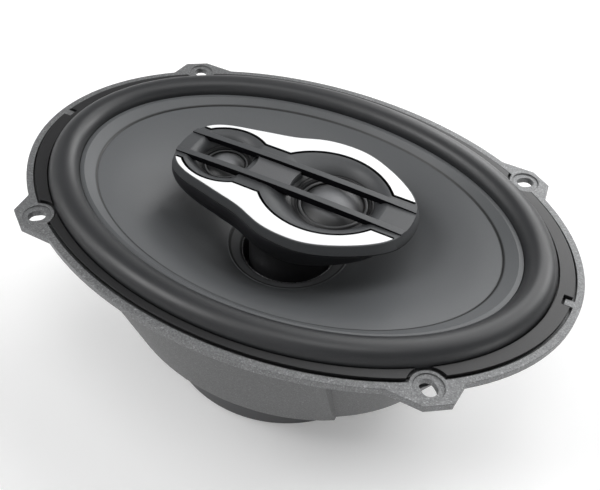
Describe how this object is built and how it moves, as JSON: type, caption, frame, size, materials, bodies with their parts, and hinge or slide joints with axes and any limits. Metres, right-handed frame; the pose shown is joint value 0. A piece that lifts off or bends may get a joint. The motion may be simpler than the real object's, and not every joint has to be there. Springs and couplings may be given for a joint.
{
  "type": "coaxial car speaker",
  "caption": "Oval coaxial car loudspeaker: cast basket with ears, rubber-surround cone, magnet in a rubber boot and a raised pod with two dome units.",
  "frame": {"origin": "centre of the four-hole mounting pattern, in the plane of the flange's rear (mounting) face", "axes": "+Z out of the speaker's front, along the cone's travel; +X along the long axis, towards the larger dome; +Y across"},
  "size_m": [0.234, 0.1626, 0.0939],
  "materials": {
    "frame_coat": "fine textured satin grey coating",
    "gasket": "matte black",
    "surround_rubber": "satin black",
    "cone_body": "satin grey moulded polypropylene",
    "collar": "satin dark grey",
    "former": "thin rolled foil",
    "copper": "enamelled copper wire",
    "spider_cloth": "resin-stiffened cloth",
    "plated_steel": "zinc plated",
    "ferrite": "sintered ferrite",
    "boot_rubber": "satin black",
    "black_steel": "black oxide",
    "post_plastic": "black",
    "pod_lower": "satin black",
    "pod_upper": "fine-grained charcoal",
    "inlay": "satin white with a slight silver stipple",
    "badge": "satin dark grey, blank",
    "terminal_plastic": "black fibre board",
    "tab_brass": "tinned brass",
    "capacitor_sleeve": "shrink sleeve",
    "tinsel": "braided tinsel",
    "feed_red": "insulated",
    "feed_black": "insulated",
    "dome_film": "satin grey polymer film",
    "face_ring": "satin black"
  },
  "bodies": {
    "frame": {"badge_plate": "badge", "basket": "frame_coat", "capacitor_large": "capacitor_sleeve", "capacitor_small": "capacitor_sleeve", "feed_wire_negative": "feed_black", "feed_wire_positive": "feed_red", "front_plate": "plated_steel", "large_dome_magnet": "ferrite", "large_dome_surround": "dome_film", "large_face_ring": "face_ring", "large_pole_plate": "plated_steel", "large_yoke_cup": "plated_steel", "lead_wire_negative": "tinsel", "lead_wire_positive": "tinsel", "magnet": "ferrite", "magnet_boot": "boot_rubber", "motor_screws": "black_steel", "pod_lower_shell": "pod_lower", "pod_screws": "black_steel", "pod_upper_shell": "pod_upper", "pole_yoke": "plated_steel", "post": "post_plastic", "post_nut": "plated_steel", "post_washer": "plated_steel", "small_dome_magnet": "ferrite", "small_dome_surround": "dome_film", "small_face_ring": "face_ring", "small_pole_plate": "plated_steel", "small_yoke_cup": "plated_steel", "spider": "spider_cloth", "surround": "surround_rubber", "terminal_block": "terminal_plastic", "terminal_rivets": "tab_brass", "terminal_tab_negative": "tab_brass", "terminal_tab_positive": "tab_brass", "trim_inlay_far": "inlay", "trim_inlay_near": "inlay", "trim_ring": "gasket"},
    "cone_assembly": {"coil_former": "former", "coil_winding": "copper", "cone": "cone_body", "neck_ring": "collar"},
    "large_dome_assembly": {"large_dome": "dome_film", "large_dome_coil": "copper"},
    "small_dome_assembly": {"small_dome": "dome_film", "small_dome_coil": "copper"}
  },
  "joints": [
    {"name": "cone_excursion", "type": "slide", "parent": "frame", "child": "cone_assembly", "axis": [0, 0, 1], "range_m": [-0.005, 0.005], "stiffness_N_per_m": 2000, "deforming": ["surround", "spider", "lead_wire_positive", "lead_wire_negative"]},
    {"name": "large_dome_excursion", "type": "slide", "parent": "frame", "child": "large_dome_assembly", "axis": [0, 0, 1], "range_m": [-0.0004, 0.0004], "stiffness_N_per_m": 100, "deforming": ["large_dome_surround"]},
    {"name": "small_dome_excursion", "type": "slide", "parent": "frame", "child": "small_dome_assembly", "axis": [0, 0, 1], "range_m": [-0.00025, 0.00025], "stiffness_N_per_m": 100, "deforming": ["small_dome_surround"]}
  ]
}
